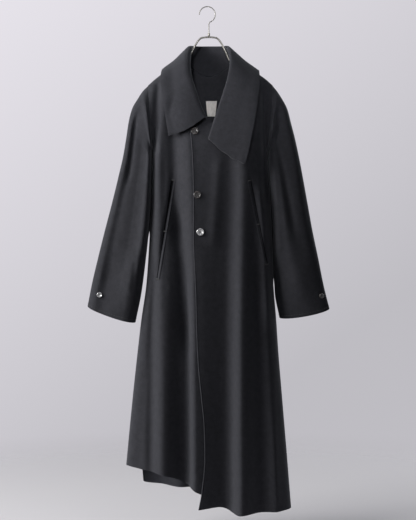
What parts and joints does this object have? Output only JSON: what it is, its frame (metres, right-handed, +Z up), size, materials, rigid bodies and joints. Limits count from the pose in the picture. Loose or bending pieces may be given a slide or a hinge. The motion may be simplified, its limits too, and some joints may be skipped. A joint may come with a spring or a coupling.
{
  "type": "long flared coat on a wire hanger",
  "caption": "Long flared black wool coat with a deep turned-down collar and slanted pockets, buttoned and hanging hollow on a wire hanger.",
  "frame": {"origin": "inside top of the hanger's hook, where it rests on a rod", "axes": "+Z up, -Y out of the coat's front, +X to the wearer's left"},
  "size_m": [0.699, 0.2463, 1.4531],
  "materials": {
    "black_wool": "black felted wool with a short soft nap",
    "label_tape": "plain beige woven tape",
    "dark_horn": "polished near-black horn",
    "chrome_wire": "bright plated steel wire"
  },
  "bodies": {
    "root": {"back": "black_wool", "front_left": "black_wool", "front_right": "black_wool", "sleeve_left": "black_wool", "sleeve_right": "black_wool", "collar": "black_wool", "pocket_welt_left": "black_wool", "pocket_welt_right": "black_wool", "label": "label_tape", "button_front_1": "dark_horn", "button_front_2": "dark_horn", "button_front_3": "dark_horn", "button_cuff_left": "dark_horn", "button_cuff_right": "dark_horn", "hanger_hook": "chrome_wire", "hanger_ferrule": "chrome_wire", "hanger_yoke": "chrome_wire"}
  },
  "joints": []
}
